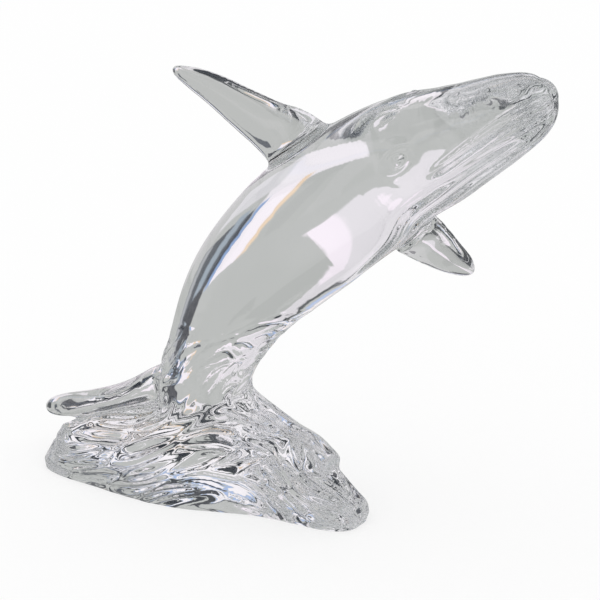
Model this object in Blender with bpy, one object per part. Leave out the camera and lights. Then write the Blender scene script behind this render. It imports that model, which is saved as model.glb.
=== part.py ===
"""Solid crystal figurine of a humpback whale leaping from a carved wave.

One piece of clear glass. The whale leaps towards +X in the XZ plane and shows its back to -Y.
Its tail flukes spread along X and sink into the wave. The origin is on the flat foot.
The form is made in millimetres, and the finished skin is scaled to metres.
"""
import math

import bmesh
import bpy
import numpy as np
from mathutils import Matrix, Vector, noise

MM = 0.001

# Driving sizes. The stations below give the shape, and these bring it to size.
BODY_REACH = 152.0
BODY_RISE = 164.6
BODY_WIDTH = 55.0
LEFT_FLIPPER_LENGTH = 75.0
RIGHT_FLIPPER_LENGTH = 68.1
LEFT_FLUKE_LENGTH = 83.7
RIGHT_FLUKE_LENGTH = 62.5
WAVE_LENGTH = 144.5
WAVE_WIDTH = 61.0
WAVE_HEIGHT = 37.0

# Middle line of the whale, from inside the wave to the tip of the snout:
# x, z, half width side to side, half depth back to belly, roll of the back away from -Y in degrees
BODY = (
    (-7.0, 14.0, 20.0, 18.5, 14),
    (-6.0, 29.3, 19.6, 18.2, 14),
    (-5.8, 43.0, 18.9, 17.6, 15),
    (-2.8, 55.4, 18.6, 17.6, 16),
    (5.9, 73.7, 21.5, 20.6, 18),
    (15.4, 87.7, 24.0, 23.2, 20),
    (28.0, 101.2, 26.2, 25.4, 20),
    (43.5, 115.7, 27.5, 26.6, 20),
    (65.6, 133.3, 26.8, 26.0, 28),
    (81.6, 145.0, 24.8, 24.2, 46),
    (98.5, 153.9, 22.7, 21.6, 56),
    (112.6, 161.5, 19.6, 18.6, 60),
    (126.8, 169.5, 16.4, 15.6, 60),
    (135.6, 174.3, 13.4, 12.8, 60),
    (141.6, 177.2, 9.6, 9.2, 60),
    (145.0, 178.6, 4.6, 4.4, 60),
)

# Left flipper, thrown up and back: x, y, z of its middle line, half chord, half thickness
LEFT_FLIPPER = (
    (50.0, -2.0, 133.0, 20.0, 9.0),
    (39.8, -5.0, 147.2, 15.6, 6.2),
    (29.7, -6.0, 153.0, 11.9, 4.3),
    (18.2, -7.0, 158.7, 9.7, 3.6),
    (6.6, -8.0, 164.5, 7.6, 3.2),
    (-3.3, -9.0, 168.5, 5.5, 2.8),
    (-10.6, -10.0, 171.0, 3.2, 2.2),
    (-13.6, -10.2, 172.0, 1.4, 1.2),
)

# Right flipper, held out and down on the far side
RIGHT_FLIPPER = (
    (74.0, -1.0, 127.0, 14.0, 9.0),
    (80.6, 12.0, 116.2, 12.0, 6.0),
    (80.8, 22.0, 109.6, 11.2, 4.4),
    (81.0, 32.0, 103.1, 10.0, 3.8),
    (82.4, 40.0, 97.6, 8.5, 3.3),
    (83.5, 47.0, 93.0, 6.4, 2.9),
    (84.6, 52.0, 89.7, 3.6, 2.2),
    (85.0, 54.0, 88.4, 1.6, 1.2),
)

# Tail flukes on either side of the tail stock: x, y, z, half chord, half thickness
LEFT_FLUKE = (
    (-8.0, 0.0, 45.0, 12.0, 10.0),
    (-26.0, 0.0, 39.0, 12.5, 7.0),
    (-40.0, 0.5, 32.0, 12.0, 5.4),
    (-52.0, 1.0, 26.8, 11.0, 4.6),
    (-65.0, 1.0, 21.8, 9.8, 4.8),
    (-76.0, 1.0, 18.8, 8.0, 4.7),
    (-83.0, 1.0, 16.8, 5.2, 3.9),
    (-86.4, 1.0, 15.8, 2.6, 2.2),
)
RIGHT_FLUKE = (
    (-4.0, 0.0, 42.0, 12.0, 9.0),
    (12.0, -1.0, 35.0, 13.0, 6.5),
    (28.0, -2.0, 28.0, 13.0, 6.0),
    (42.0, -3.0, 24.0, 12.0, 5.6),
    (54.0, -4.0, 19.0, 9.0, 5.0),
)

# Wave under the whale, along X: x, middle y, half width, height
WAVE = (
    (-73.5, -7.0, 10.0, 8.0),
    (-71.5, -5.0, 15.5, 11.5),
    (-68.0, -3.5, 20.5, 14.5),
    (-58.0, -3.0, 24.5, 18.0),
    (-42.0, -2.5, 27.0, 25.0),
    (-15.5, -2.0, 30.5, 34.0),
    (3.0, -1.5, 29.0, 37.0),
    (18.0, -1.0, 24.5, 34.0),
    (30.0, -1.0, 20.5, 29.5),
    (42.0, -2.0, 18.5, 26.0),
    (52.0, -4.5, 16.0, 20.5),
    (60.0, -6.5, 13.5, 14.5),
    (67.0, -7.5, 10.5, 9.0),
    (71.0, -8.0, 6.0, 5.0),
)
WAVE_SQUARENESS = 2.1

# Direction across each limb, along its chord
LEFT_FLIPPER_ACROSS = (0.45, 0.0, 0.9)
RIGHT_FLIPPER_ACROSS = (0.78, 0.0, 0.62)
FLUKE_ACROSS = (0.0, 1.0, 0.0)

# Carving on the whale: distances back from the snout along the body, degrees round it from the back
OWN_SKIN = 1.12
MOUTH_LENGTH = 46.0
MOUTH_FADE = 5.0
MOUTH_DEPTH = 1.8
MOUTH_WIDTH = 6.0
MOUTH_FRONT_ROUND = 64
MOUTH_CORNER_ROUND = 80
LIP_WIDTH = 8.0
LIP_HEIGHT = 0.7
EYE_BACK = 57.0
EYE_ROUND = 51
EYE_SLIMNESS = 1.8
EYE_LENGTH = 9.0
EYE_HEIGHT = 2.0
SOCKET_LENGTH = 17.0
SOCKET_DEPTH = 1.8
BROW_RADIUS = 10.0
BROW_HEIGHT = 1.0
PLEAT_START = 10.0
PLEAT_FULL = 25.0
PLEAT_FADE = 93.0
PLEAT_END = 124.0
PLEAT_COUNT = 9
PLEAT_ARC = 190
PLEAT_ARC_FADE = 19
PLEAT_DEPTH = 1.1
PLEAT_SHARPNESS = 2.2
KNOB_RADIUS = 4.2
KNOB_HEIGHT = 0.3
KNOB_SPACING = 10.5
KNOB_FIRST = 8.4
KNOB_COUNT = 5
KNOB_ROWS = (0, 40)
BLOWHOLE_BACK = 58.0
BLOWHOLE_LENGTH = 12.0
BLOWHOLE_WIDTH = 3.6
BLOWHOLE_APART = 4.8
BLOWHOLE_SPLAY = 0.25
BLOWHOLE_HEIGHT = 0.5
BLOWHOLE_MOUND = 8.0

# Carving on the wave: long pockets along the flow with ridges between them
STRAND_WIDTH = 4.8
STRAND_LENGTH = 32.0
STRAND_DEPTH = 2.6
STRAND_PROUD = 0.45
STRAND_FAN = 0.25
STRAND_WANDER = 0.6
STRAND_STRETCH = 0.3
RIDGE_WIDTH = 0.5
FOLD_LENGTH = 34.0
FOLD_WIDTH = 9.4
FOLD_DEPTH = 2.0
RIM_HEIGHT = 4.5
FAR_SIDE_CARVING = 0.6
FAR_SIDE_START = 8.0
RIM_CARVING = 0.15
STOCK_AT = 11.0
STOCK_RADIUS = 18.9
STOCK_LIFT = 20.0
STOCK_SPREAD = 34.0
STOCK_STRAND_WIDTH = 8.5
SPLASH_START = 32.0
SPLASH_FULL = 46.0
SPLASH_SWAY = 8.0
SPLASH_REACH = (1.3, 2.2)
SPLASH_TOP = 62.0
SPLASH_FADE = 20.0
SPLASH_TATTERS = 30.0
SPLASH_LEAN = 11.0
SPLASH_SLANT = 0.8
SWIRL_SIZE = 28.0
SWIRL_SEED = 5
FLUKE_BARE = (18.0, 30.0)
FLUKE_MARGIN = 3.0
HOLLOW_AT = (22.0, 20.0)
HOLLOW_LENGTH = 28.0
HOLLOW_WIDTH = 12.0
HOLLOW_SLOPE = 0.3
HOLLOW_EDGE = (0.9, 1.2)
HOLLOW_BOWL = (0.1, 0.95)
HOLLOW_RIM = 0.8
HOLLOW_DEPTH = 2.6

# Fineness of the skin
VOXEL = 1.25
SOFTENING = 8
POLISHING = 2
TRIANGLES = 10100


def spline(stations, steps):
    """Rows on a smooth curve through the stations, which it meets exactly."""
    rows = np.array(stations, float)
    padded = np.vstack([2 * rows[0] - rows[1], rows, 2 * rows[-1] - rows[-2]])
    made = []
    for before, start, end, after in zip(padded, padded[1:], padded[2:], padded[3:]):
        for step in range(steps):
            t = step / steps
            made.append(0.5 * (2 * start + (end - before) * t
                               + (2 * before - 5 * start + 4 * end - after) * t * t
                               + (3 * start - before - 3 * end + after) * t ** 3))
    made.append(rows[-1])
    return np.array(made)


def spread(stations, axes, size):
    """Stations moved along some axes until the last is the given distance from the first."""
    rows = np.array(stations, float)
    reach = rows[:, axes] - rows[0, axes]
    rows[:, axes] = rows[0, axes] + reach * size / np.linalg.norm(reach[-1])
    return rows


def swell(stations, columns, largest):
    """Stations with some of their half sizes scaled together until the largest is as given."""
    rows = np.array(stations, float)
    rows[:, columns] *= largest / rows[:, columns].max()
    return rows


def wave_stations():
    """The wave at its driving length, width and height."""
    return swell(swell(spread(WAVE, [0], WAVE_LENGTH), [2], WAVE_WIDTH / 2), [3], WAVE_HEIGHT)


def ring_place(origin, across, along, half_across, half_up):
    """The matrix that lays a unit ring square to a direction, its first axis along across."""
    along = along.normalized()
    across = (across - along * across.dot(along)).normalized()
    turned = Matrix((across, along.cross(across), along)).transposed().to_4x4()
    return Matrix.Translation(origin) @ turned @ Matrix.Diagonal((half_across, half_up, 1, 1))


def loft(places, squareness=2.0, sides=40):
    """A closed skin over a ring that is extruded from place to place."""
    bm = bmesh.new()
    bmesh.ops.create_circle(bm, cap_ends=True, segments=sides, radius=1)
    for v in bm.verts:
        v.co /= (abs(v.co.x) ** squareness + abs(v.co.y) ** squareness) ** (1 / squareness)
    bmesh.ops.transform(bm, matrix=places[0], verts=bm.verts)
    edges = list(bm.edges)
    for last, place in zip(places, places[1:]):
        grown = bmesh.ops.extrude_edge_only(bm, edges=edges)["geom"]
        ring = [g for g in grown if isinstance(g, bmesh.types.BMVert)]
        edges = [g for g in grown if isinstance(g, bmesh.types.BMEdge)]
        bmesh.ops.transform(bm, matrix=place @ last.inverted(), verts=ring)
    bmesh.ops.contextual_create(bm, geom=edges)
    bmesh.ops.recalc_face_normals(bm, faces=bm.faces)
    return bm


class Spine:
    """The whale's middle line, with the directions of its back and its left side."""

    def __init__(self):
        self.stations = spread(spread(BODY, [0], BODY_REACH), [1], BODY_RISE)
        self.stations = swell(self.stations, [2, 3], BODY_WIDTH / 2)
        rows = spline(self.stations, 12)
        self.at = np.stack([rows[:, 0], np.zeros(len(rows)), rows[:, 1]], axis=1)
        along = np.gradient(self.at, axis=0)
        self.along = along / np.linalg.norm(along, axis=1)[:, None]
        roll = np.radians(rows[:, 4])[:, None]
        up = np.stack([-self.along[:, 2], np.zeros(len(rows)), self.along[:, 0]], axis=1)
        far = np.array([0.0, 1.0, 0.0])
        self.back = np.sin(roll) * up - np.cos(roll) * far
        self.left = np.cos(roll) * up + np.sin(roll) * far
        self.half = rows[:, 2:4]
        steps = np.linalg.norm(np.diff(self.at, axis=0), axis=1)
        self.from_snout = np.concatenate([np.cumsum(steps[::-1])[::-1], [0.0]])

    def places(self):
        """Where the rings of the body lie."""
        return [ring_place(Vector(self.at[i]), Vector(self.left[i]), Vector(self.along[i]),
                           self.half[i][0], self.half[i][1]) for i in range(len(self.at))]

    def carry(self, place):
        """How far a place on the body moves with it when the body is brought to size."""
        moved = (self.stations - np.array(BODY, float))[:, :2]
        reach = np.array(BODY)[:, :2] - (place[0], place[2])
        across, up = moved[np.argmin((reach * reach).sum(axis=1))]
        return across, 0.0, up

    def locate(self, point):
        """How far back from the snout a point is, its angle round from the back, and its depth."""
        reach = point - self.at
        i = int(np.argmin((reach * reach).sum(axis=1)))
        side = float(reach[i] @ self.left[i])
        rise = float(reach[i] @ self.back[i])
        surface = math.hypot(side / self.half[i][0], rise / self.half[i][1])
        ahead = float(reach[i] @ self.along[i])
        return self.from_snout[i] - ahead, math.degrees(math.atan2(side, rise)), surface, i


def limb(stations, length, across, spine):
    """A flipper or a fluke: flat rings along its own middle line, rooted in the body."""
    rows = spread(stations, [0, 1, 2], length)
    rows[:, :3] += spine.carry(rows[0, :3])
    rows = spline(rows, 6)
    along = np.gradient(rows[:, :3], axis=0)
    return loft([ring_place(Vector(row[:3]), Vector(across), Vector(way), row[3], row[4])
                 for row, way in zip(rows, along)])


def wave_body():
    """The mound of water, its rings half above the foot and half below it."""
    rows = spline(wave_stations(), 6)
    return loft([ring_place(Vector((x, y, 0)), Vector((0, 1, 0)), Vector((1, 0, 0)), half, high)
                 for x, y, half, high in rows], WAVE_SQUARENESS)


def bump(distance, radius):
    """A smooth rise that is 1 in the middle and 0 from the radius outwards."""
    return max(0.0, 1 - (distance / radius) ** 2) ** 2


def ramp(value, low, high):
    """A smooth step from 0 at low to 1 at high."""
    t = min(1.0, max(0.0, (value - low) / (high - low)))
    return t * t * (3 - 2 * t)


def on_skin(spine, i, degrees):
    """The distance that an angle round the body covers at a ring."""
    return math.radians(degrees) * float(spine.half[i].mean())


def mouth_line(back):
    """The angle round the body of the line between the jaws, which drops towards the corner."""
    drop = ramp(back, 0, MOUTH_LENGTH)
    return MOUTH_FRONT_ROUND + (MOUTH_CORNER_ROUND - MOUTH_FRONT_ROUND) * drop


def mouth_carving(spine, back, side, i):
    """The groove between the jaws, and the fuller lip under it."""
    away = on_skin(spine, i, side - mouth_line(back))
    fade = 1 - ramp(back, MOUTH_LENGTH - MOUTH_FADE, MOUTH_LENGTH + MOUTH_FADE)
    groove = MOUTH_DEPTH * bump(away, MOUTH_WIDTH / 2)
    lip = LIP_HEIGHT * bump(away - LIP_WIDTH / 2, LIP_WIDTH / 2)
    return fade * (lip - groove)


def eye_carving(spine, back, side, i):
    """The brow swelling, and in it the almond socket with the round of the eye."""
    along = back - EYE_BACK
    across = on_skin(spine, i, side - EYE_ROUND)
    almond = math.hypot(along, EYE_SLIMNESS * across)
    out = BROW_HEIGHT * bump(math.hypot(along, across), BROW_RADIUS)
    out -= SOCKET_DEPTH * bump(almond, SOCKET_LENGTH / 2)
    return out + EYE_HEIGHT * bump(almond, EYE_LENGTH / 2)


def crown_carving(spine, back, side, i):
    """The knobs on the top of the head, and the twin blowholes on a mound behind them."""
    row = (back - KNOB_FIRST) / KNOB_SPACING
    nearest = min(KNOB_COUNT - 1, max(0, round(row)))
    out = 0.0
    for line in KNOB_ROWS:
        knob = math.hypot((row - nearest) * KNOB_SPACING, on_skin(spine, i, side - line))
        out += KNOB_HEIGHT * bump(knob, KNOB_RADIUS)
    behind = back - BLOWHOLE_BACK
    across = on_skin(spine, i, side)
    out += BLOWHOLE_HEIGHT * bump(math.hypot(behind, across), BLOWHOLE_MOUND)
    slit = bump(across - BLOWHOLE_APART / 2 - BLOWHOLE_SPLAY * behind, BLOWHOLE_WIDTH / 2)
    return out - BLOWHOLE_HEIGHT * slit * bump(behind, BLOWHOLE_LENGTH / 2)


def belly_carving(back, side):
    """The pleats from the chin to the middle of the belly: rounded ridges with narrow valleys."""
    from_middle = 180 - side
    inside = ramp(back, PLEAT_START, PLEAT_FULL) * (1 - ramp(back, PLEAT_FADE, PLEAT_END))
    inside *= 1 - ramp(from_middle, (PLEAT_ARC - PLEAT_ARC_FADE) / 2, (PLEAT_ARC + PLEAT_ARC_FADE) / 2)
    valley = abs(math.cos(math.pi * PLEAT_COUNT * from_middle / PLEAT_ARC)) ** PLEAT_SHARPNESS
    return -PLEAT_DEPTH * inside * valley


def pocket(along, across, deep):
    """1 in the middle of a cell of a Voronoi pattern and 0 on the ridges between the cells."""
    nearest, second = noise.voronoi(Vector((along, across, deep)))[0][:2]
    return ramp(second - nearest, 0, RIDGE_WIDTH)


class Water:
    """The running water that is carved over the wave and up the tail stock."""

    def __init__(self):
        noise.seed_set(SWIRL_SEED)
        self.wave = spline(wave_stations(), 6)
        self.fluke = spline(spread(LEFT_FLUKE, [0, 1, 2], LEFT_FLUKE_LENGTH), 6)[::-1]

    def along_wave(self, point, swirl):
        """Strand lengths along the wave, strand widths up from its foot, and the turn over it."""
        middle, half, high = (np.interp(point.x, self.wave[:, 0], self.wave[:, k]) for k in (1, 2, 3))
        girth = math.pi * (half + high) / 2
        lift = STOCK_LIFT * math.exp(-((point.x - STOCK_AT) / STOCK_SPREAD) ** 2)
        turn = math.atan2(max(0.0, point.z) / high, (middle - point.y) / half) / math.pi
        wide = STRAND_WIDTH * (1 + STRAND_FAN * ramp(point.x, self.wave[0, 0], STOCK_AT))
        along = point.x / STRAND_LENGTH + STRAND_STRETCH * swirl.x
        up = min(turn, 1 - turn) * girth - lift
        return along, up / wide + STRAND_WANDER * swirl.z, 3 * turn

    def up_stock(self, point, around, swirl):
        """Strand lengths up the tail stock, strand widths round it at a slant, and a third place."""
        girth = math.radians(around) * STOCK_RADIUS
        along = (point.z - SPLASH_SLANT * girth) / STRAND_LENGTH + STRAND_STRETCH * swirl.z
        across = (girth + SPLASH_SLANT * point.z) / STOCK_STRAND_WIDTH + STRAND_WANDER * swirl.x
        return along, across, swirl.y

    def clear_of_fluke(self, point):
        """0 on the smooth left fluke, 1 on the water under and beside it."""
        x = self.fluke[:, 0]
        low = np.interp(point.x, x, self.fluke[:, 2]) - np.interp(point.x, x, self.fluke[:, 4])
        return 1 - ramp(point.z, low - FLUKE_MARGIN, low + 1) * ramp(-point.x, *FLUKE_BARE)

    def hollow(self, point, out):
        """The carving with the large diamond hollow let into the front of the wave."""
        along, rise = point.x - HOLLOW_AT[0], point.z - HOLLOW_AT[1]
        diamond = 2 * abs(along) / HOLLOW_LENGTH
        diamond += 2 * abs(rise - HOLLOW_SLOPE * along) / HOLLOW_WIDTH
        inside = 1 - ramp(diamond, *HOLLOW_EDGE)
        sunk = HOLLOW_RIM - (HOLLOW_RIM + HOLLOW_DEPTH) * (1 - ramp(diamond, *HOLLOW_BOWL))
        return out + inside * (sunk - out)

    def carving(self, point, around, surface):
        """How far the skin stands out or lies in."""
        swirl = noise.noise_vector(point / SWIRL_SIZE)
        wave = self.along_wave(point, swirl)
        stock = self.up_stock(point, around, swirl)
        climb = ramp(point.z + SPLASH_SWAY * swirl.y, SPLASH_START, SPLASH_FULL)
        climb *= 1 - ramp(surface, *SPLASH_REACH)
        carved = pocket(*wave) * (1 - climb) + pocket(*stock) * climb
        fold = noise.noise(Vector((wave[0] * STRAND_LENGTH / FOLD_LENGTH,
                                   wave[1] * STRAND_WIDTH / FOLD_WIDTH, wave[2]))) * (1 - climb)
        top = SPLASH_TOP - SPLASH_LEAN * math.sin(math.radians(around)) + SPLASH_TATTERS * (0.5 - carved)
        fade = (1 - ramp(point.z, top - SPLASH_FADE, top)) * self.clear_of_fluke(point)
        fade *= RIM_CARVING + (1 - RIM_CARVING) * ramp(point.z, 0, RIM_HEIGHT)
        fade *= 1 - (1 - FAR_SIDE_CARVING) * ramp(point.y, -FAR_SIDE_START, FAR_SIDE_START)
        if point.z > SPLASH_FULL:
            fade *= 1 - ramp(surface, *SPLASH_REACH)
        out = fade * (STRAND_DEPTH * (STRAND_PROUD - carved) + FOLD_DEPTH * fold)
        return self.hollow(point, out) if point.y < 0 else out


def carve(bm, spine):
    """Moves every point of the skin along its normal, by what is carved there."""
    water = Water()
    bm.normal_update()
    moves = []
    for v in bm.verts:
        back, around, surface, i = spine.locate(np.array(v.co))
        side = abs(around)
        out = water.carving(v.co, around, surface)
        if surface < OWN_SKIN:
            out += mouth_carving(spine, back, side, i) + eye_carving(spine, back, side, i)
            out += crown_carving(spine, back, side, i) + belly_carving(back, side)
        moves.append(v.normal * out)
    for v, move in zip(bm.verts, moves):
        v.co += move


def one_skin(forms):
    """All the forms run together into one closed skin."""
    mesh = bpy.data.meshes.new("forms")
    joined = bmesh.new()
    for form in forms:
        form.to_mesh(mesh)
        joined.from_mesh(mesh)
        form.free()
    joined.to_mesh(mesh)
    joined.free()
    blank = bpy.data.objects.new("forms", mesh)
    bpy.context.scene.collection.objects.link(blank)
    remesh = blank.modifiers.new("one skin", "REMESH")
    remesh.mode = "VOXEL"
    remesh.voxel_size = VOXEL
    skin = bpy.data.meshes.new_from_object(
        blank.evaluated_get(bpy.context.evaluated_depsgraph_get()))
    bpy.data.objects.remove(blank)
    bm = bmesh.new()
    bm.from_mesh(skin)
    return bm


def soften(bm, times):
    """Moves every point of a skin towards the middle of its neighbours."""
    for _ in range(times):
        bmesh.ops.smooth_vert(bm, verts=bm.verts, factor=0.5, use_axis_x=True, use_axis_y=True,
                              use_axis_z=True)


def thinned(bm):
    """The same skin with fewer triangles, kept where the carving needs them."""
    mesh = bpy.data.meshes.new("thinned")
    bmesh.ops.triangulate(bm, faces=bm.faces)
    bm.to_mesh(mesh)
    blank = bpy.data.objects.new("thinned", mesh)
    bpy.context.scene.collection.objects.link(blank)
    decimate = blank.modifiers.new("fewer triangles", "DECIMATE")
    decimate.ratio = TRIANGLES / sum(1 for f in bm.faces if f.calc_center_median().z > 0)
    fewer = bpy.data.meshes.new_from_object(
        blank.evaluated_get(bpy.context.evaluated_depsgraph_get()))
    bpy.data.objects.remove(blank)
    bm.clear()
    bm.from_mesh(fewer)


def cut_foot(bm):
    """Cuts the skin off level at the foot and closes it there with one flat face."""
    everything = list(bm.verts) + list(bm.edges) + list(bm.faces)
    cut = bmesh.ops.bisect_plane(bm, geom=everything, plane_co=(0, 0, 0), plane_no=(0, 0, -1),
                                 clear_outer=True)
    rim = [g for g in cut["geom_cut"] if isinstance(g, bmesh.types.BMEdge)]
    bmesh.ops.contextual_create(bm, geom=rim)
    bmesh.ops.triangulate(bm, faces=bm.faces)
    bmesh.ops.recalc_face_normals(bm, faces=bm.faces)


def crystal():
    """Clear lead crystal with a polished surface."""
    material = bpy.data.materials.new("crystal")
    material.use_nodes = True
    shader = material.node_tree.nodes["Principled BSDF"]
    shader.inputs["Base Color"].default_value = (0.97, 0.97, 0.98, 1)
    shader.inputs["Metallic"].default_value = 0.0
    shader.inputs["Roughness"].default_value = 0.02
    shader.inputs["IOR"].default_value = 1.545
    shader.inputs["Transmission Weight"].default_value = 1.0
    return material


def whale_figurine():
    """The whole figurine as one closed solid."""
    spine = Spine()
    forms = [loft(spine.places()), wave_body(),
             limb(LEFT_FLIPPER, LEFT_FLIPPER_LENGTH, LEFT_FLIPPER_ACROSS, spine),
             limb(RIGHT_FLIPPER, RIGHT_FLIPPER_LENGTH, RIGHT_FLIPPER_ACROSS, spine),
             limb(LEFT_FLUKE, LEFT_FLUKE_LENGTH, FLUKE_ACROSS, spine),
             limb(RIGHT_FLUKE, RIGHT_FLUKE_LENGTH, FLUKE_ACROSS, spine)]
    bm = one_skin(forms)
    soften(bm, SOFTENING)
    carve(bm, spine)
    soften(bm, POLISHING)
    thinned(bm)
    cut_foot(bm)
    bmesh.ops.scale(bm, vec=(MM, MM, MM), verts=bm.verts)
    mesh = bpy.data.meshes.new("whale_figurine")
    bm.to_mesh(mesh)
    bm.free()
    mesh.shade_smooth()
    mesh.materials.append(crystal())
    figurine = bpy.data.objects.new("whale_figurine", mesh)
    bpy.context.scene.collection.objects.link(figurine)


for thing in list(bpy.data.objects):
    bpy.data.objects.remove(thing)
whale_figurine()
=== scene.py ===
# %% [markdown]
# # A crystal whale
#
# This notebook dresses one object: a solid crystal figurine of a humpback whale that leaps from a
# carved wave. Pieces like it are cast in clear lead crystal, cut and then polished, so they have no
# colour of their own. All that the eye sees is the room, bent by the surface. A glass piece is
# therefore two jobs of the same weight: a skin that is smooth where the glass is smooth and carved
# where it is carved, and a studio worth bending.

import math

import bmesh
import bpy
import numpy as np
from mathutils import Matrix, Vector, noise


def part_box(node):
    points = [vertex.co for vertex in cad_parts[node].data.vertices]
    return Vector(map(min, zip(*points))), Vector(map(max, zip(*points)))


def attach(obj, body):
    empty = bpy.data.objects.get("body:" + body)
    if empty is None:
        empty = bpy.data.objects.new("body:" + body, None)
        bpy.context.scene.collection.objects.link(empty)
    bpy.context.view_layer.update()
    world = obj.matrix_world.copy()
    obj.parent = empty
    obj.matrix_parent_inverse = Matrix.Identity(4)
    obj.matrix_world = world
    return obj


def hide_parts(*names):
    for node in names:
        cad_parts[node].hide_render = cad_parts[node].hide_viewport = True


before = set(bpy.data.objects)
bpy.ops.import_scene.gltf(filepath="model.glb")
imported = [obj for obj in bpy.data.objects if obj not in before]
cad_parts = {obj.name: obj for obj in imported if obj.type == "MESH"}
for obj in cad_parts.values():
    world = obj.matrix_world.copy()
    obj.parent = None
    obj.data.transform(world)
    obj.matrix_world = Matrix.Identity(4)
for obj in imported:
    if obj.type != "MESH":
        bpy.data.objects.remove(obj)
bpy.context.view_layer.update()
cad_low, cad_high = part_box("whale_figurine")
print("solid from", tuple(round(c, 4) for c in cad_low), "to", tuple(round(c, 4) for c in cad_high))

# %% [markdown]
# ## The camera
#
# The picture was taken from a little above, with a long lens. The whale leaps along X, and the
# camera stands 32 degrees round to the side of its back. The lens follows from the distance and
# from how wide a strip of the scene the square picture covers.

# %% Camera
AIM = Vector((0.0283, 0.0163, 0.078))
CAMERA_ROUND = math.radians(32)
CAMERA_UP = math.radians(18)
CAMERA_AWAY = 1.1
PICTURE_WIDE = 0.2367
SENSOR = 36.0
CLIP_START = 0.01

camera = bpy.data.objects.new("camera", bpy.data.cameras.new("camera"))
bpy.context.scene.collection.objects.link(camera)
toward_camera = Vector((math.sin(CAMERA_ROUND) * math.cos(CAMERA_UP),
                        -math.cos(CAMERA_ROUND) * math.cos(CAMERA_UP), math.sin(CAMERA_UP)))
camera.location = AIM + CAMERA_AWAY * toward_camera
camera.rotation_euler = (-toward_camera).to_track_quat("-Z", "Y").to_euler()
camera.data.sensor_width = SENSOR
camera.data.lens = SENSOR * CAMERA_AWAY / PICTURE_WIDE
camera.data.clip_start = CLIP_START
bpy.context.scene.camera = camera
bpy.context.scene.view_settings.view_transform = "Standard"
print("lens", round(camera.data.lens, 1), "mm")

# %% [markdown]
# ## The whale's middle line
#
# A body that bends and tapers could be pulled out of a sphere by sculpting, but a row of rings is
# easier to steer: each ring says where the body is, how wide and how deep it is there, and which
# way its back is turned. Between the rings a smooth curve fills in the rest. The lengths here are
# in millimetres, because that is how one measures a figurine, and the finished skin is scaled to
# metres at the end.

# %% Body stations
MM = 0.001
BODY_STEPS = 12

# x, z, half width side to side, half depth back to belly, roll of the back away from -Y in degrees
BODY = (
    (-7.0, 14.0, 20.0, 18.5, 14),
    (-6.0, 29.3, 19.6, 18.2, 14),
    (-5.8, 43.0, 18.9, 17.6, 15),
    (-2.8, 55.4, 18.6, 17.6, 16),
    (5.9, 73.7, 21.5, 20.6, 18),
    (15.4, 87.7, 24.0, 23.2, 20),
    (28.0, 101.2, 26.2, 25.4, 20),
    (43.5, 115.7, 27.5, 26.6, 20),
    (65.6, 133.3, 26.8, 26.0, 28),
    (81.6, 145.0, 24.8, 24.2, 46),
    (98.5, 153.9, 22.7, 21.6, 56),
    (112.6, 161.5, 19.6, 18.6, 60),
    (126.8, 169.5, 16.4, 15.6, 60),
    (135.6, 174.3, 13.4, 12.8, 60),
    (141.6, 177.2, 9.6, 9.2, 60),
    (145.0, 178.6, 4.6, 4.4, 60),
)


def spline(stations, steps):
    """Rows on a smooth curve through the stations, which it meets exactly."""
    rows = np.array(stations, float)
    padded = np.vstack([2 * rows[0] - rows[1], rows, 2 * rows[-1] - rows[-2]])
    made = []
    for before, start, end, after in zip(padded, padded[1:], padded[2:], padded[3:]):
        for step in range(steps):
            t = step / steps
            made.append(0.5 * (2 * start + (end - before) * t
                               + (2 * before - 5 * start + 4 * end - after) * t * t
                               + (3 * start - before - 3 * end + after) * t ** 3))
    made.append(rows[-1])
    return np.array(made)


class Spine:
    """The whale's middle line, with the directions of its back and its left side."""

    def __init__(self):
        rows = spline(BODY, BODY_STEPS)
        self.at = np.stack([rows[:, 0], np.zeros(len(rows)), rows[:, 1]], axis=1)
        along = np.gradient(self.at, axis=0)
        self.along = along / np.linalg.norm(along, axis=1)[:, None]
        roll = np.radians(rows[:, 4])[:, None]
        up = np.stack([-self.along[:, 2], np.zeros(len(rows)), self.along[:, 0]], axis=1)
        far = np.array([0.0, 1.0, 0.0])
        self.back = np.sin(roll) * up - np.cos(roll) * far
        self.left = np.cos(roll) * up + np.sin(roll) * far
        self.half = rows[:, 2:4]
        steps = np.linalg.norm(np.diff(self.at, axis=0), axis=1)
        self.from_snout = np.concatenate([np.cumsum(steps[::-1])[::-1], [0.0]])

    def locate(self, point):
        """Distance back from the snout, degrees round from the back, share of the radius, ring."""
        reach = point - self.at
        i = int(np.argmin((reach * reach).sum(axis=1)))
        side, rise = float(reach[i] @ self.left[i]), float(reach[i] @ self.back[i])
        surface = math.hypot(side / self.half[i][0], rise / self.half[i][1])
        back = self.from_snout[i] - float(reach[i] @ self.along[i])
        return back, math.degrees(math.atan2(side, rise)), surface, i


spine = Spine()
print("the whale is", round(float(spine.from_snout[0])), "mm long along its middle line")

# %% [markdown]
# ## Rings into skins
#
# The classic way to loft in Blender is to make one ring and extrude its edge from place to place.
# Each new ring is put where it belongs by the matrix that takes the last place to the next, so
# the quads between them follow by themselves.

# %% Loft
def ring_place(origin, across, along, half_across, half_up):
    """The matrix that lays a unit ring square to a direction, its first axis along across."""
    along = along.normalized()
    across = (across - along * across.dot(along)).normalized()
    turned = Matrix((across, along.cross(across), along)).transposed().to_4x4()
    return Matrix.Translation(origin) @ turned @ Matrix.Diagonal((half_across, half_up, 1, 1))


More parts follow.
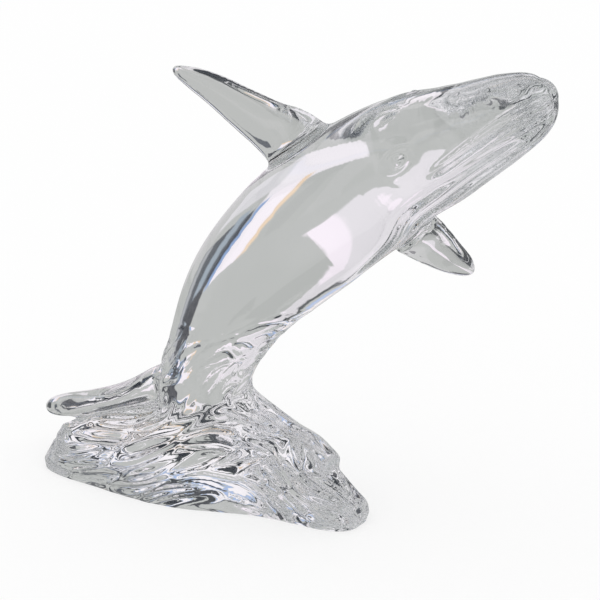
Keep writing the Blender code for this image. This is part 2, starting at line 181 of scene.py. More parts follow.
def loft(places, squareness=2.0, sides=64):
    """A closed skin over a ring that is extruded from place to place."""
    bm = bmesh.new()
    bmesh.ops.create_circle(bm, cap_ends=True, segments=sides, radius=1)
    for v in bm.verts:
        v.co /= (abs(v.co.x) ** squareness + abs(v.co.y) ** squareness) ** (1 / squareness)
    bmesh.ops.transform(bm, matrix=places[0], verts=bm.verts)
    edges = list(bm.edges)
    for last, place in zip(places, places[1:]):
        grown = bmesh.ops.extrude_edge_only(bm, edges=edges)["geom"]
        ring = [g for g in grown if isinstance(g, bmesh.types.BMVert)]
        edges = [g for g in grown if isinstance(g, bmesh.types.BMEdge)]
        bmesh.ops.transform(bm, matrix=place @ last.inverted(), verts=ring)
    bmesh.ops.contextual_create(bm, geom=edges)
    bmesh.ops.recalc_face_normals(bm, faces=bm.faces)
    return bm


body = loft([ring_place(Vector(spine.at[i]), Vector(spine.left[i]), Vector(spine.along[i]),
                        spine.half[i][0], spine.half[i][1]) for i in range(len(spine.at))])
print("body of", len(body.faces), "faces")

# %% [markdown]
# ## Flippers, flukes and the wave
#
# A humpback's flippers are as long as a third of its body, and they are what makes the pose. One
# is thrown up and back, the other is held out on the far side. They are flat rings along a line
# of their own, and so are the tail flukes, which droop onto the water. The wave is a long mound.
# All these forms reach well into each other, so that no seam is left when they run together.

# %% Limbs and wave
LIMB_STEPS = 8
LEFT_FLIPPER_ACROSS = (0.45, 0, 0.9)
RIGHT_FLIPPER_ACROSS = (0.78, 0, 0.62)
FLUKE_ACROSS = (0, 1, 0)

# x, y, z of the middle line, half chord, half thickness
LEFT_FLIPPER = (
    (50.0, -2.0, 133.0, 20.0, 9.0),
    (39.8, -5.0, 147.2, 15.6, 6.2),
    (29.7, -6.0, 153.0, 11.9, 4.3),
    (18.2, -7.0, 158.7, 9.7, 3.6),
    (6.6, -8.0, 164.5, 7.6, 3.2),
    (-3.3, -9.0, 168.5, 5.5, 2.8),
    (-10.6, -10.0, 171.0, 3.2, 2.2),
    (-13.6, -10.2, 172.0, 1.4, 1.2),
)
RIGHT_FLIPPER = (
    (74.0, -1.0, 127.0, 14.0, 9.0),
    (80.6, 12.0, 116.2, 12.0, 6.0),
    (80.8, 22.0, 109.6, 11.2, 4.4),
    (81.0, 32.0, 103.1, 10.0, 3.8),
    (82.4, 40.0, 97.6, 8.5, 3.3),
    (83.5, 47.0, 93.0, 6.4, 2.9),
    (84.6, 52.0, 89.7, 3.6, 2.2),
    (85.0, 54.0, 88.4, 1.6, 1.2),
)
LEFT_FLUKE = (
    (-8.0, 0.0, 45.0, 12.0, 10.0),
    (-26.0, 0.0, 39.0, 12.5, 7.0),
    (-40.0, 0.5, 32.0, 12.0, 5.4),
    (-52.0, 1.0, 26.8, 11.0, 4.6),
    (-65.0, 1.0, 21.8, 9.8, 4.8),
    (-76.0, 1.0, 18.8, 8.0, 4.7),
    (-83.0, 1.0, 16.8, 5.2, 3.9),
    (-86.4, 1.0, 15.8, 2.6, 2.2),
)
RIGHT_FLUKE = (
    (-4.0, 0.0, 42.0, 12.0, 9.0),
    (12.0, -1.0, 35.0, 13.0, 6.5),
    (28.0, -2.0, 28.0, 13.0, 6.0),
    (42.0, -3.0, 24.0, 12.0, 5.6),
    (54.0, -4.0, 19.0, 9.0, 5.0),
)

# x, middle y, half width, height
WAVE = (
    (-73.5, -7.0, 10.0, 8.0),
    (-71.5, -5.0, 15.5, 11.5),
    (-68.0, -3.5, 20.5, 14.5),
    (-58.0, -3.0, 24.5, 18.0),
    (-42.0, -2.5, 27.0, 25.0),
    (-15.5, -2.0, 30.5, 34.0),
    (3.0, -1.5, 29.0, 37.0),
    (18.0, -1.0, 24.5, 34.0),
    (30.0, -1.0, 20.5, 29.5),
    (42.0, -2.0, 18.5, 26.0),
    (52.0, -4.5, 16.0, 20.5),
    (60.0, -6.5, 13.5, 14.5),
    (67.0, -7.5, 10.5, 9.0),
    (71.0, -8.0, 6.0, 5.0),
)
WAVE_SQUARENESS = 2.1


def limb(stations, across):
    """A flipper or a fluke: flat rings along its own middle line."""
    rows = spline(stations, LIMB_STEPS)
    along = np.gradient(rows[:, :3], axis=0)
    return loft([ring_place(Vector(row[:3]), Vector(across), Vector(way), row[3], row[4])
                 for row, way in zip(rows, along)])


def wave_body():
    """The mound of water, its rings half above the foot and half below it."""
    rows = spline(WAVE, LIMB_STEPS)
    across, along = Vector((0, 1, 0)), Vector((1, 0, 0))
    return loft([ring_place(Vector((x, y, 0)), across, along, half, high)
                 for x, y, half, high in rows], WAVE_SQUARENESS)


forms = [body, wave_body(),
         limb(LEFT_FLIPPER, LEFT_FLIPPER_ACROSS), limb(RIGHT_FLIPPER, RIGHT_FLIPPER_ACROSS),
         limb(LEFT_FLUKE, FLUKE_ACROSS), limb(RIGHT_FLUKE, FLUKE_ACROSS)]
print(len(forms), "forms of", sum(len(form.faces) for form in forms), "faces")

# %% [markdown]
# ## One skin
#
# Molten glass knows no parts. A voxel remesh throws one net of small quads over all the forms at
# once, as if they had been poured together. The net is finer than a millimetre. Then every point
# is moved towards the middle of its neighbours a few times, which is what fire polishing does: it
# rounds the hollow where a flipper meets the body, and takes the steps of the net away.

# %% Remesh and soften
VOXEL = 0.88
SOFTENING = 22


def one_skin(parts):
    """All the forms run together into one closed skin."""
    mesh = bpy.data.meshes.new("forms")
    joined = bmesh.new()
    for part in parts:
        part.to_mesh(mesh)
        joined.from_mesh(mesh)
        part.free()
    joined.to_mesh(mesh)
    joined.free()
    blank = bpy.data.objects.new("forms", mesh)
    bpy.context.scene.collection.objects.link(blank)
    remesh = blank.modifiers.new("one skin", "REMESH")
    remesh.mode = "VOXEL"
    remesh.voxel_size = VOXEL
    skin = bpy.data.meshes.new_from_object(
        blank.evaluated_get(bpy.context.evaluated_depsgraph_get()))
    bpy.data.objects.remove(blank)
    bm = bmesh.new()
    bm.from_mesh(skin)
    return bm


def soften(bm, verts, times):
    """Moves the points towards the middle of their neighbours."""
    for _ in range(times):
        bmesh.ops.smooth_vert(bm, verts=verts, factor=0.5, use_axis_x=True, use_axis_y=True,
                              use_axis_z=True)


skin = one_skin(forms)
soften(skin, skin.verts, SOFTENING)
print("skin of", len(skin.faces), "quads")

# %% [markdown]
# ## Carving
#
# The carver's marks are written as heights over the skin: a groove is a negative height, a knob a
# positive one. Each mark is a small function of a place on the whale, given as a distance back
# from the snout and an angle round the body from the middle of the back. Three helpers are enough
# for all of them: a smooth bump, a smooth step, and the distance that an angle covers on the skin.

# %% Shapes of a carver's marks
def bump(distance, radius):
    """A smooth rise that is 1 in the middle and 0 from the radius outwards."""
    return max(0.0, 1 - (distance / radius) ** 2) ** 2


def ramp(value, low, high):
    """A smooth step from 0 at low to 1 at high."""
    t = min(1.0, max(0.0, (value - low) / (high - low)))
    return t * t * (3 - 2 * t)


def on_skin(i, degrees):
    """The distance that an angle round the body covers at a ring."""
    return math.radians(degrees) * float(spine.half[i].mean())


# %% [markdown]
# ### The head
#
# A humpback's head is easy to know: a long jaw line that drops at its corner, a small eye right
# behind it on a swelling of the cheek, and rows of knobs on the snout, with twin blowholes where
# the knobs end.

# %% Head
OWN_SKIN = 1.12
MOUTH_LENGTH = 46.0
MOUTH_FADE = 5.0
MOUTH_DEPTH = 1.8
MOUTH_WIDTH = 6.0
MOUTH_FRONT_ROUND = 64
MOUTH_CORNER_ROUND = 80
LIP_WIDTH = 8.0
LIP_HEIGHT = 0.7
EYE_BACK = 57.0
EYE_ROUND = 51
EYE_SLIMNESS = 1.8
EYE_LENGTH = 9.0
EYE_HEIGHT = 2.8
SOCKET_LENGTH = 17.0
SOCKET_DEPTH = 2.6
BROW_RADIUS = 10.0
BROW_HEIGHT = 1.0
KNOB_RADIUS = 4.2
KNOB_HEIGHT = 0.1
KNOB_SPACING = 10.5
KNOB_FIRST = 8.4
KNOB_COUNT = 5
KNOB_ROWS = (0, 40)
BLOWHOLE_BACK = 58.0
BLOWHOLE_LENGTH = 12.0
BLOWHOLE_WIDTH = 3.6
BLOWHOLE_APART = 4.8
BLOWHOLE_SPLAY = 0.25
BLOWHOLE_HEIGHT = 0.5
BLOWHOLE_MOUND = 8.0


def mouth_line(back):
    """The angle round the body of the line between the jaws, which drops towards the corner."""
    drop = ramp(back, 0, MOUTH_LENGTH)
    return MOUTH_FRONT_ROUND + (MOUTH_CORNER_ROUND - MOUTH_FRONT_ROUND) * drop


def mouth_carving(back, side, i):
    """The groove between the jaws, and the fuller lip under it."""
    away = on_skin(i, side - mouth_line(back))
    fade = 1 - ramp(back, MOUTH_LENGTH - MOUTH_FADE, MOUTH_LENGTH + MOUTH_FADE)
    groove = MOUTH_DEPTH * bump(away, MOUTH_WIDTH / 2)
    lip = LIP_HEIGHT * bump(away - LIP_WIDTH / 2, LIP_WIDTH / 2)
    return fade * (lip - groove)


def eye_carving(back, side, i):
    """The brow swelling, and in it the almond socket with the round of the eye."""
    along = back - EYE_BACK
    across = on_skin(i, side - EYE_ROUND)
    almond = math.hypot(along, EYE_SLIMNESS * across)
    out = BROW_HEIGHT * bump(math.hypot(along, across), BROW_RADIUS)
    out -= SOCKET_DEPTH * bump(almond, SOCKET_LENGTH / 2)
    return out + EYE_HEIGHT * bump(almond, EYE_LENGTH / 2)


def crown_carving(back, side, i):
    """The knobs on the top of the head, and the twin blowholes on a mound behind them."""
    row = (back - KNOB_FIRST) / KNOB_SPACING
    nearest = min(KNOB_COUNT - 1, max(0, round(row)))
    out = 0.0
    for line in KNOB_ROWS:
        knob = math.hypot((row - nearest) * KNOB_SPACING, on_skin(i, side - line))
        out += KNOB_HEIGHT * bump(knob, KNOB_RADIUS)
    behind = back - BLOWHOLE_BACK
    across = on_skin(i, side)
    out += BLOWHOLE_HEIGHT * bump(math.hypot(behind, across), BLOWHOLE_MOUND)
    slit = bump(across - BLOWHOLE_APART / 2 - BLOWHOLE_SPLAY * behind, BLOWHOLE_WIDTH / 2)
    return out - BLOWHOLE_HEIGHT * slit * bump(behind, BLOWHOLE_LENGTH / 2)


# %% [markdown]
# ### The belly
#
# From the chin to the navel run the long pleats that let the throat swell. Seen through the
# solid glass they are what breaks the far side up into lines.

# %% Pleats
PLEAT_START = 10.0
PLEAT_FULL = 25.0
PLEAT_FADE = 93.0
PLEAT_END = 124.0
PLEAT_COUNT = 9
PLEAT_ARC = 190
PLEAT_ARC_FADE = 19
PLEAT_DEPTH = 1.1
PLEAT_SHARPNESS = 2.2


def belly_carving(back, side):
    """The pleats from the chin to the middle of the belly: rounded ridges with narrow valleys."""
    from_middle = 180 - side
    inside = ramp(back, PLEAT_START, PLEAT_FULL) * (1 - ramp(back, PLEAT_FADE, PLEAT_END))
    edge, soft = PLEAT_ARC / 2, PLEAT_ARC_FADE / 2
    inside *= 1 - ramp(from_middle, edge - soft, edge + soft)
    valley = abs(math.cos(math.pi * PLEAT_COUNT * from_middle / PLEAT_ARC)) ** PLEAT_SHARPNESS
    return -PLEAT_DEPTH * inside * valley


# %% [markdown]
# ### The water
#
# Running water is drawn as strands that fan up from the foot of the wave and turn into flames on
# the tail stock. The carver cuts them as long almond pockets, with a sharp ridge left between one
# pocket and the next. A Voronoi pattern is just that when it is stretched along the flow: the
# middles of its cells are pockets and the borders are ridges. Two flows are needed, one that runs
# along the wave and one that climbs the stock at a slant. Noise bends both.

# %% Water
STRAND_WIDTH = 4.8
STRAND_LENGTH = 32.0
STRAND_DEPTH = 2.5
STRAND_PROUD = 0.45
STRAND_FAN = 0.25
STRAND_WANDER = 0.7
STRAND_STRETCH = 0.3
SIDES_APART = 3
RIDGE_WIDTH = 0.5
FOLD_LENGTH = 34.0
FOLD_WIDTH = 9.4
FOLD_DEPTH = 2.0
RIM_HEIGHT = 4.5
FAR_SIDE_CARVING = 0.35
FAR_SIDE_START = 8.0
RIM_CARVING = 0.15
STOCK_AT = 11.0
STOCK_RADIUS = 18.9
STOCK_LIFT = 20.0
STOCK_SPREAD = 34.0
STOCK_STRAND_WIDTH = 7.5
SPLASH_START = 32.0
SPLASH_FULL = 46.0
SPLASH_SWAY = 8.0
SPLASH_REACH = (1.3, 2.2)
SPLASH_TOP = 62.0
SPLASH_FADE = 20.0
SPLASH_TATTERS = 30.0
SPLASH_LEAN = 11.0
SPLASH_SLANT = 0.8
SWIRL_SIZE = 28.0
SWIRL_SEED = 5
FLUKE_BARE = (18.0, 30.0)
FLUKE_MARGIN = 3.0
HOLLOW_AT = (22.0, 20.0)
HOLLOW_LENGTH = 28.0
HOLLOW_WIDTH = 12.0
HOLLOW_SLOPE = 0.3
HOLLOW_EDGE = (0.9, 1.2)
HOLLOW_BOWL = (0.1, 0.95)
HOLLOW_RIM = 0.8
HOLLOW_DEPTH = 2.6


def pocket(along, across, deep):
    """1 in the middle of a cell of a Voronoi pattern and 0 on the ridges between the cells."""
    nearest, second = noise.voronoi(Vector((along, across, deep)))[0][:2]
    return ramp(second - nearest, 0, RIDGE_WIDTH)


class Water:
    """The running water that is carved over the wave and up the tail stock."""

    def __init__(self):
        noise.seed_set(SWIRL_SEED)
        self.wave = spline(WAVE, LIMB_STEPS)
        self.fluke = spline(LEFT_FLUKE, LIMB_STEPS)[::-1]

    def along_wave(self, point, swirl):
        """Strand lengths along the wave, strand widths up from its foot, and the turn over it."""
        middle, half, high = (np.interp(point.x, self.wave[:, 0], self.wave[:, k])
                              for k in (1, 2, 3))
        girth = math.pi * (half + high) / 2
        lift = STOCK_LIFT * math.exp(-((point.x - STOCK_AT) / STOCK_SPREAD) ** 2)
        turn = math.atan2(max(0.0, point.z) / high, (middle - point.y) / half) / math.pi
        wide = STRAND_WIDTH * (1 + STRAND_FAN * ramp(point.x, self.wave[0, 0], STOCK_AT))
        along = point.x / STRAND_LENGTH + STRAND_STRETCH * swirl.x
        up = min(turn, 1 - turn) * girth - lift
        return along, up / wide + STRAND_WANDER * swirl.z, SIDES_APART * turn

    def up_stock(self, point, around, swirl):
        """Strand lengths up the tail stock, strand widths round it at a slant, a third place."""
        girth = math.radians(around) * STOCK_RADIUS
        along = (point.z - SPLASH_SLANT * girth) / STRAND_LENGTH + STRAND_STRETCH * swirl.z
        across = (girth + SPLASH_SLANT * point.z) / STOCK_STRAND_WIDTH + STRAND_WANDER * swirl.x
        return along, across, swirl.y

    def clear_of_fluke(self, point):
        """0 on the smooth left fluke, 1 on the water under and beside it."""
        x = self.fluke[:, 0]
        low = np.interp(point.x, x, self.fluke[:, 2]) - np.interp(point.x, x, self.fluke[:, 4])
        return 1 - ramp(point.z, low - FLUKE_MARGIN, low + 1) * ramp(-point.x, *FLUKE_BARE)

    def hollow(self, point, out):
        """The carving with the large diamond hollow let into the front of the wave."""
        along, rise = point.x - HOLLOW_AT[0], point.z - HOLLOW_AT[1]
        diamond = 2 * abs(along) / HOLLOW_LENGTH
        diamond += 2 * abs(rise - HOLLOW_SLOPE * along) / HOLLOW_WIDTH
        inside = 1 - ramp(diamond, *HOLLOW_EDGE)
        sunk = HOLLOW_RIM - (HOLLOW_RIM + HOLLOW_DEPTH) * (1 - ramp(diamond, *HOLLOW_BOWL))
        return out + inside * (sunk - out)

    def carving(self, point, around, surface):
        """How far the skin stands out or lies in."""
        swirl = noise.noise_vector(point / SWIRL_SIZE)
        wave = self.along_wave(point, swirl)
        stock = self.up_stock(point, around, swirl)
        climb = ramp(point.z + SPLASH_SWAY * swirl.y, SPLASH_START, SPLASH_FULL)
        climb *= 1 - ramp(surface, *SPLASH_REACH)
        carved = pocket(*wave) * (1 - climb) + pocket(*stock) * climb
        fold = noise.noise(Vector((wave[0] * STRAND_LENGTH / FOLD_LENGTH,
                                   wave[1] * STRAND_WIDTH / FOLD_WIDTH, wave[2]))) * (1 - climb)
        top = SPLASH_TOP - SPLASH_LEAN * math.sin(math.radians(around))
        top += SPLASH_TATTERS * (0.5 - carved)
        fade = (1 - ramp(point.z, top - SPLASH_FADE, top)) * self.clear_of_fluke(point)
        fade *= RIM_CARVING + (1 - RIM_CARVING) * ramp(point.z, 0, RIM_HEIGHT)
        fade *= 1 - (1 - FAR_SIDE_CARVING) * ramp(point.y, -FAR_SIDE_START, FAR_SIDE_START)
        if point.z > SPLASH_FULL:
            fade *= 1 - ramp(surface, *SPLASH_REACH)
        out = fade * (STRAND_DEPTH * (STRAND_PROUD - carved) + FOLD_DEPTH * fold)
        return self.hollow(point, out) if point.y < 0 else out


# %% [markdown]
# ## Carving the skin
#
# Every mark so far is only a function of a place. Now each point of the skin moves along its own
# normal by what they add up to. In clear glass the marks on the far side show through the near
# ones and blur them, so the pleats and knobs on the turned away side are cut more gently. A last
# touch of softening takes the burrs off the ridges.

# %% Carve the skin
FAR_KNOBS = 0.1
FAR_PLEATS = 0.4
FAR_SIDE_FROM = 0.0
FAR_SIDE_BY = 0.5
POLISHING = 2


def carve(bm):
    """Moves every point of the skin along its normal, by what is carved there."""
    water = Water()
    bm.normal_update()
    moves = []
    for v in bm.verts:
        back, around, surface, i = spine.locate(np.array(v.co))
        side = abs(around)
        out = water.carving(v.co, around, surface)
        if surface < OWN_SKIN:
            out += mouth_carving(back, side, i) + eye_carving(back, side, i)
            turned_away = ramp(v.normal.y, FAR_SIDE_FROM, FAR_SIDE_BY)
            out += crown_carving(back, side, i) * (1 - (1 - FAR_KNOBS) * turned_away)
            out += belly_carving(back, side) * (1 - (1 - FAR_PLEATS) * turned_away)
        moves.append(v.normal * out)
    for v, move in zip(bm.verts, moves):
        v.co += move
    return max(move.length for move in moves)


deepest = carve(skin)
soften(skin, skin.verts, POLISHING)
print("carved up to", round(deepest, 1), "mm")

# %% [markdown]
# ## The foot
#
# The real piece is ground flat underneath, so that it stands without rocking. A plane through the
# floor cuts the skin, and one flat face closes it.

# %% Cut the foot and make the piece
def cut_foot(bm):
    """Cuts the skin off level at the foot and closes it there with one flat face."""
    everything = list(bm.verts) + list(bm.edges) + list(bm.faces)
    cut = bmesh.ops.bisect_plane(bm, geom=everything, plane_co=(0, 0, 0), plane_no=(0, 0, -1),
                                 clear_outer=True)
    rim = [g for g in cut["geom_cut"] if isinstance(g, bmesh.types.BMEdge)]
    bmesh.ops.contextual_create(bm, geom=rim)
    for edge in rim:
        edge.smooth = False


cut_foot(skin)
bmesh.ops.triangulate(skin, faces=skin.faces)
bmesh.ops.recalc_face_normals(skin, faces=skin.faces)
bmesh.ops.scale(skin, vec=(MM, MM, MM), verts=skin.verts)
mesh = bpy.data.meshes.new("crystal_whale")
skin.to_mesh(mesh)
skin.free()
for polygon in mesh.polygons:
    polygon.use_smooth = True
whale = bpy.data.objects.new("crystal_whale", mesh)
bpy.context.scene.collection.objects.link(whale)
print("finished skin of", len(mesh.polygons), "triangles")

# %% [markdown]
# ## Shader helpers
#
# Node trees read badly as lists of links. A small class around a socket lets the maths be written
# as Python expressions, and one method makes any other node.

# %% Expressions on sockets
class Value:
    """A socket that can be used in an expression. Each operation adds its Math node."""

    def __init__(self, tree, socket):
        self.tree = tree
        self.socket = socket

    def math(self, operation, *others):
        """A Math node on this socket and others, which may be sockets or numbers."""
        values = {0: self}
        values.update({k + 1: other for k, other in enumerate(others)})
        return self.tree.node("ShaderNodeMath", {"operation": operation}, values)

    def __add__(self, other):
        return self.math("ADD", other)

    def __sub__(self, other):
        return self.math("SUBTRACT", other)

    def __rsub__(self, other):
        return self.tree.number(other).math("SUBTRACT", self)

    def __mul__(self, other):
        return self.math("MULTIPLY", other)

    __radd__ = __add__
    __rmul__ = __mul__

    def clamp(self):
        """The value held between 0 and 1."""
        return self.tree.node("ShaderNodeClamp", {}, {"Value": self})

    def step(self, low, high):
        """A smooth step from 0 at low to 1 at high, which may also be the lower number."""
        return self.tree.node("ShaderNodeMapRange", {"interpolation_type": "SMOOTHSTEP"},
                              {"Value": self, "From Min": low, "From Max": high})


class Tree:
    """A node tree that makes its nodes in one way."""

    def __init__(self, owner):
        owner.use_nodes = True
        self.nodes = owner.node_tree.nodes
        self.links = owner.node_tree.links
        self.nodes.clear()

    def node(self, kind, settings=None, sockets=None, output=0):
        """Makes a node, its settings first, then its sockets, and returns one of its outputs."""
        made = self.nodes.new(kind)
        for name, value in (settings or {}).items():
            setattr(made, name, value)
        for name, value in (sockets or {}).items():
            if isinstance(value, Value):
                self.links.new(value.socket, made.inputs[name])
            else:
                made.inputs[name].default_value = value
        return Value(self, made.outputs[output]) if len(made.outputs) else made

    def number(self, value):
        """A plain number as a socket."""
        return self.node("ShaderNodeMath", {"operation": "ADD"}, {0: value, 1: 0.0})


print("helpers ready")

# %% [markdown]
# ## Lead crystal
#
# Lead crystal bends light a little more than window glass, with an index of about 1.545, and it
# is so clear that only long paths show a trace of colour. A polished cast surface is never quite
# even: under the polish stays a faint waviness, and the gloss is a little softer in some places
# than in others. Those two are what the material varies, with a breath of tint. The rest is the
# Principled shader's own transmission, with a thin volume absorption for the long paths.

# %% Crystal material
INDEX = 1.545
WAVINESS = 0.05
WAVINESS_HEIGHT = 0.0004
WAVINESS_SCALE = 90.0
GLOSS_SCALE = 26.0
GLOSS_EDGES = (0.35, 0.8)
ROUGHEST = 0.018
FAINT_TINT = (0.985, 0.99, 0.99, 1)
DEEP_TINT = (0.9, 0.95, 0.96, 1)
DEEP_TINT_DENSITY = 1.5


def crystal():
    """Clear polished lead crystal."""
    material = bpy.data.materials.new("lead_crystal")
    tree = Tree(material)
    place = tree.node("ShaderNodeTexCoord", output=3)
    slow = tree.node("ShaderNodeTexNoise", {},
                     {"Vector": place, "Scale": WAVINESS_SCALE, "Detail": 1.0})
    gloss = tree.node("ShaderNodeTexNoise", {},
                      {"Vector": place, "Scale": GLOSS_SCALE, "Detail": 3.0})
    height = tree.node("ShaderNodeBump", {},
                       {"Strength": WAVINESS, "Distance": WAVINESS_HEIGHT, "Height": slow})
    tint = tree.node("ShaderNodeMix", {"data_type": "RGBA"},
                     {0: gloss, 6: FAINT_TINT, 7: (1, 1, 1, 1)}, output=2)
    surface = tree.node("ShaderNodeBsdfPrincipled", {}, {
        "Base Color": tint,
        "Roughness": ROUGHEST * gloss.step(*GLOSS_EDGES),
        "Normal": height,
        "IOR": INDEX,
        "Transmission Weight": 1.0,
    })
    inside = tree.node("ShaderNodeVolumeAbsorption", {},
                       {"Color": DEEP_TINT, "Density": DEEP_TINT_DENSITY})
    tree.node("ShaderNodeOutputMaterial", {}, {"Surface": surface, "Volume": inside})
    return material


whale.data.materials.append(crystal())
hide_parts("whale_figurine")
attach(whale, "root")
print("crystal with index", INDEX)

# %% [markdown]
# ## The studio
#
# The floor is plain and pale. The camera sees it as the white page of the picture, but with the
# figurine's shadow still on it: most of its light is its own, and the rest is what falls on it, so
# that the shadow can show. For rays that come out of the glass the floor is clear, and they go on
# to the studio below.

# %% Floor
FLOOR_SIZE = 6.0
FLOOR_GAP = 0.0002
OWN_LIGHT = 0.7


def floor_material():
    """Pale paper for the eye, clear for rays that leave the glass."""
    material = bpy.data.materials.new("pale_paper")
    tree = Tree(material)
    camera_ray = tree.node("ShaderNodeLightPath", output=0)
    glossy_ray = tree.node("ShaderNodeLightPath", output=3)
    through_ray = tree.node("ShaderNodeLightPath", output=6)
    paper = tree.node("ShaderNodeBsdfDiffuse", {}, {"Color": (0.98, 0.98, 0.98, 1)})
    white = tree.node("ShaderNodeEmission", {}, {"Color": (1, 1, 1, 1), "Strength": 1.0})
    clear = tree.node("ShaderNodeBsdfTransparent")
    page = tree.node("ShaderNodeMixShader", {}, {0: camera_ray * OWN_LIGHT, 1: paper, 2: white})
    seen = tree.node("ShaderNodeMixShader", {},
                     {0: (glossy_ray + through_ray).clamp(), 1: page, 2: clear})
    tree.node("ShaderNodeOutputMaterial", {}, {"Surface": seen})
    return material


def make_floor():
    """A wide plane just under the foot."""
    bm = bmesh.new()
    bmesh.ops.create_grid(bm, x_segments=1, y_segments=1, size=FLOOR_SIZE / 2)
    mesh = bpy.data.meshes.new("floor")
    bm.to_mesh(mesh)
    bm.free()
    mesh.materials.append(floor_material())
    floor = bpy.data.objects.new("floor", mesh)
    floor.location.z = -FLOOR_GAP
    bpy.context.scene.collection.objects.link(floor)
    return floor


make_floor()
print("floor", FLOOR_SIZE, "m wide")

# %% [markdown]
# ## Cards round the glass
#
# Clear crystal shows only what stands round it, turned over and bent by its form. A glass
# photographer therefore works with cards: white ones draw the bright bands, black ones the dark
# edges. Here they are painted on the world by direction, as seen from the figurine with the
# camera's view straight ahead, and each one lies over those before it. The body acts as a thick
# lens, so a narrow card low on the right becomes the long band down its left side. The carved wave
# breaks the long strips above the horizon up into its dark and bright strands.

# %% World
# degrees to the right of the view and up, width, height, lean aside for each degree up, soft edge,
# colour
CARDS = (
    (-118, -38, 136, 56, 0.0, 6.0, (0.66, 0.65, 0.67)),
    (-40, 15.5, 180, 5, 0.0, 1.0, (0.03, 0.035, 0.045)),
    (-40, 20.5, 180, 2, 0.0, 1.0, (0.40, 0.52, 0.80)),
    (-40, 26, 180, 8, 0.0, 1.0, (0.98, 0.94, 0.98)),
    (-40, 35, 180, 7, 0.0, 1.0, (0.02, 0.025, 0.035)),
    (-40, 44, 180, 8, 0.0, 1.5, (0.98, 0.94, 0.98)),
    (-40, 49.5, 180, 2, 0.0, 1.0, (0.85, 0.62, 0.40)),
    (-40, 57, 180, 11, 0.0, 1.5, (0.03, 0.035, 0.045)),
    (-70, 62, 44, 50, 0.0, 3.0, (0.08, 0.085, 0.10)),
    (2, 11, 26, 7, 0.0, 1.0, (0.04, 0.045, 0.055)),
    (-34, 4.5, 24, 23, 0.0, 1.5, (0.80, 0.77, 0.81)),
    (-25.5, 1.5, 20, 29, -1.0, 1.5, (0.80, 0.77, 0.81)),
    (-15, -1, 5, 25, -1.0, 1.0, (0.98, 0.90, 0.98)),
    (34.5, -31, 21, 16, 0.0, 1.5, (0.08, 0.09, 0.11)),
    (31, -30, 5, 22, 0.2, 2.5, (0.34, 0.40, 0.47)),
    (42, -31, 5, 16, 0.0, 3.0, (0.42, 0.43, 0.46)),
    (36, -12, 18, 24, 0.0, 1.5, (0.03, 0.035, 0.045)),
    (16, -3, 5, 12, 0.0, 1.0, (0.10, 0.11, 0.13)),
    (11, -48, 24, 20, 0.0, 1.5, (0.90, 0.86, 0.91)),
    (33, -51, 24, 14, 0.0, 2.0, (0.72, 0.71, 0.74)),
    (23.3, -31, 2.4, 18, 0.2, 1.6, (0.30, 0.42, 0.68)),
    (18.5, -31, 8, 18, 0.2, 0.8, (0.96, 0.90, 0.96)),
    (13.8, -31, 1.8, 18, 0.2, 1.4, (0.88, 0.68, 0.50)),
    (-40, -37, 40, 3, 0.15, 1.0, (0.05, 0.055, 0.065)),
    (-30, -43, 14, 9, 0.15, 1.0, (0.03, 0.035, 0.045)),
    (-50, -44, 26, 7, 0.15, 1.0, (0.97, 0.92, 0.97)),
    (-46, -59, 30, 14, 0.0, 1.0, (0.03, 0.035, 0.045)),
    (-22, -58, 14, 9, 0.0, 1.0, (0.95, 0.90, 0.95)),
    (-40, -22, 36, 5, 0.15, 1.0, (0.92, 0.88, 0.92)),
    (-66, -36, 3, 50, 0.3, 1.5, (0.20, 0.21, 0.23)),
    (-85, -35, 24, 50, 0.3, 6.0, (0.92, 0.89, 0.92)),
    (-140, -35, 24, 50, 0.3, 8.0, (0.88, 0.85, 0.88)),
    (-76, 2, 8, 24, 0.4, 1.0, (0.02, 0.025, 0.035)),
    (-88, 1, 10, 26, 0.4, 1.0, (0.98, 0.93, 0.98)),
    (-101, 4, 7, 24, 0.4, 1.0, (0.02, 0.025, 0.035)),
    (-114, 3, 10, 28, 0.4, 1.0, (0.98, 0.93, 0.98)),
    (-95, -62, 62, 14, 0.0, 1.5, (0.04, 0.045, 0.055)),
    (0, -79, 360, 23, 0.0, 2.0, (0.06, 0.065, 0.075)),
    (150, 0, 40, 90, 0.0, 5.0, (0.12, 0.125, 0.135)),
    (100, 10, 30, 70, 0.0, 4.0, (0.92, 0.90, 0.92)),
)
BACKDROP = (0.50, 0.51, 0.50, 1)


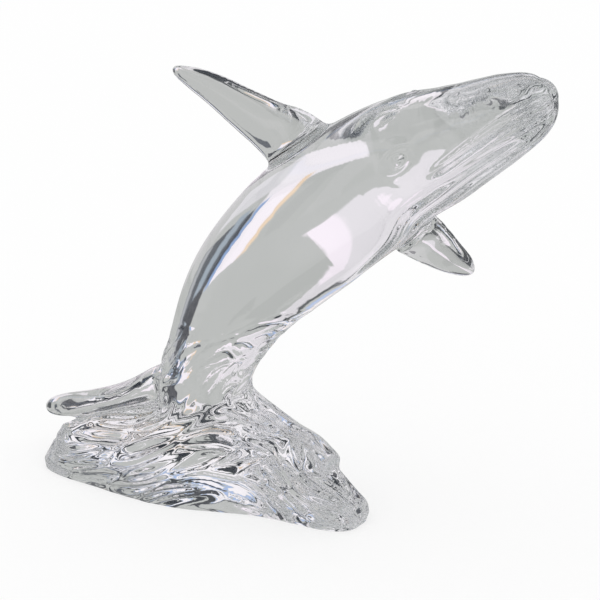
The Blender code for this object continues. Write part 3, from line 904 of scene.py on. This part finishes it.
def card_mask(round_, rise, card):
    """1 on a card and 0 beside it, with a soft edge."""
    across, up, wide, high, slant, edge, _ = card
    above = rise - up
    aside = round_ - across - slant * above if slant else round_ - across
    inside = [size.math("ABSOLUTE").step((whole + edge) / 2, (whole - edge) / 2)
              for size, whole in ((aside, wide), (above, high))]
    return inside[0] * inside[1]


def make_world():
    """White light for the floor and the page, and the cards for what the glass shows."""
    world = bpy.data.worlds.new("studio")
    bpy.context.scene.world = world
    tree = Tree(world)
    direction = tree.node("ShaderNodeTexCoord", output=0)
    turned = tree.node("ShaderNodeVectorRotate", {"rotation_type": "Z_AXIS"},
                       {"Vector": direction, "Angle": -CAMERA_ROUND})
    right, ahead, up = (tree.node("ShaderNodeSeparateXYZ", {}, {0: turned}, k) for k in range(3))
    round_ = right.math("ARCTAN2", ahead) * math.degrees(1)
    rise = up.math("ARCSINE") * math.degrees(1)
    colour = BACKDROP
    for card in CARDS:
        mask = card_mask(round_, rise, card)
        colour = tree.node("ShaderNodeMix", {"data_type": "RGBA"},
                           {0: mask, 6: colour, 7: (*card[-1], 1)}, output=2)
    glossy_ray = tree.node("ShaderNodeLightPath", output=3)
    through_ray = tree.node("ShaderNodeLightPath", output=6)
    seen = tree.node("ShaderNodeMix", {"data_type": "RGBA"},
                     {0: (glossy_ray + through_ray).clamp(), 6: (1, 1, 1, 1), 7: colour}, output=2)
    light = tree.node("ShaderNodeBackground", {}, {"Color": seen, "Strength": 1.0})
    tree.node("ShaderNodeOutputWorld", {}, {"Surface": light})
    return len(tree.nodes)


print("studio of", len(CARDS), "cards and", make_world(), "nodes")

# %% [markdown]
# ## Light paths
#
# Inside a solid piece of glass a ray can run round many corners before it gets out. Each total
# reflection counts as a glossy bounce, and a ray that runs out of bounces comes back black. More
# bounces than usual keep the thick parts clear.

# %% Bounces
BOUNCES = 28
GLOSSY_BOUNCES = 22

paths = bpy.context.scene.cycles
paths.max_bounces = BOUNCES
paths.glossy_bounces = GLOSSY_BOUNCES
paths.transmission_bounces = BOUNCES
print("up to", paths.max_bounces, "bounces")
